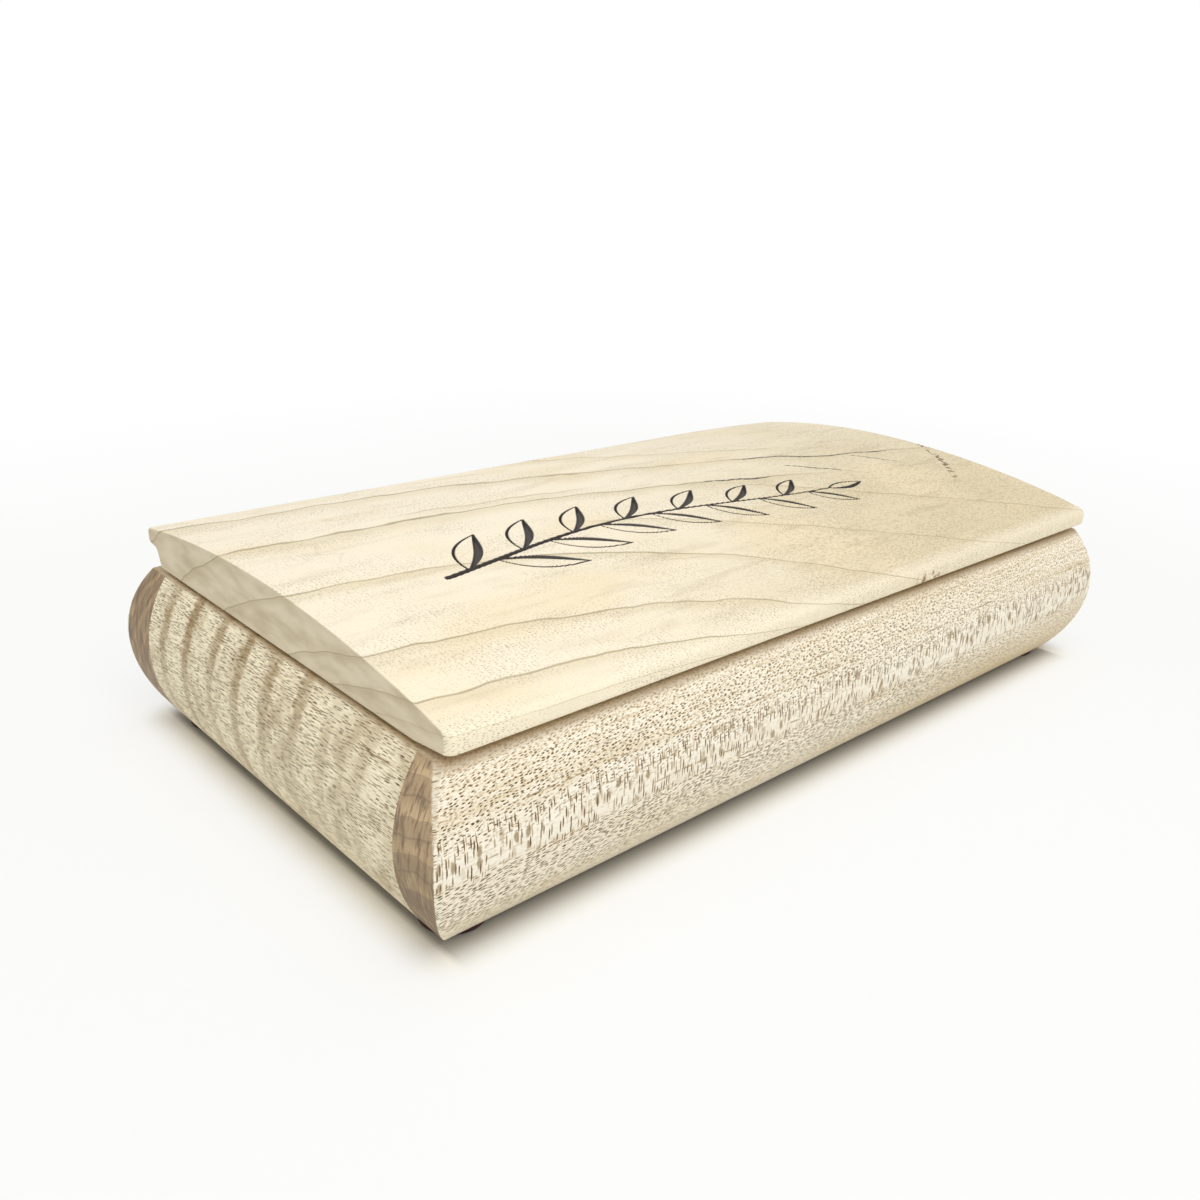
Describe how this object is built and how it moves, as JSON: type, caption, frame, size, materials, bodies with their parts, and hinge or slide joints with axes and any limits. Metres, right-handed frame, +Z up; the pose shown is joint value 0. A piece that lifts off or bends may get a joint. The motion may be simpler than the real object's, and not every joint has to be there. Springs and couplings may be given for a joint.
{
  "type": "wooden keepsake box",
  "caption": "Low maple keepsake box with bulging lapped walls, a grooved-in bottom and an arched lid that swings up on brass butt hinges hidden under its back lip.",
  "frame": {"origin": "on the surface that the box stands on, under the middle of the box", "axes": "+X along the front to the right, +Y from front to back, +Z up"},
  "size_m": [0.28, 0.152, 0.0627],
  "materials": {
    "maple_walls": "sanded, matt oil",
    "curly_maple_ends": "sanded, matt oil",
    "maple_lid": "sanded, matt oil",
    "maple_panel": "sanded",
    "felt_lining": "pressed felt",
    "leather_feet": "cut discs",
    "brass_hinge": "satin",
    "brass_screws": "satin",
    "clear_bumpers": "soft, translucent"
  },
  "bodies": {
    "box": {"front_wall": "maple_walls", "back_wall": "maple_walls", "left_wall": "curly_maple_ends", "right_wall": "curly_maple_ends", "bottom_panel": "maple_panel", "floor_lining": "felt_lining", "foot_front_left": "leather_feet", "foot_front_right": "leather_feet", "foot_back_left": "leather_feet", "foot_back_right": "leather_feet", "hinge_left_body_leaf": "brass_hinge", "hinge_right_body_leaf": "brass_hinge", "hinge_left_pin": "brass_hinge", "hinge_right_pin": "brass_hinge", "hinge_screws_body": "brass_screws"},
    "lid_assembly": {"lid": "maple_lid", "hinge_left_lid_leaf": "brass_hinge", "hinge_right_lid_leaf": "brass_hinge", "hinge_screws_lid": "brass_screws", "lid_bumper_left": "clear_bumpers", "lid_bumper_right": "clear_bumpers"}
  },
  "joints": [
    {"name": "lid_hinge", "type": "hinge", "parent": "box", "child": "lid_assembly", "pos_m": [0, 0.06731, 0.04702], "axis": [-1, 0, 0], "range_deg": [0, 102]}
  ]
}
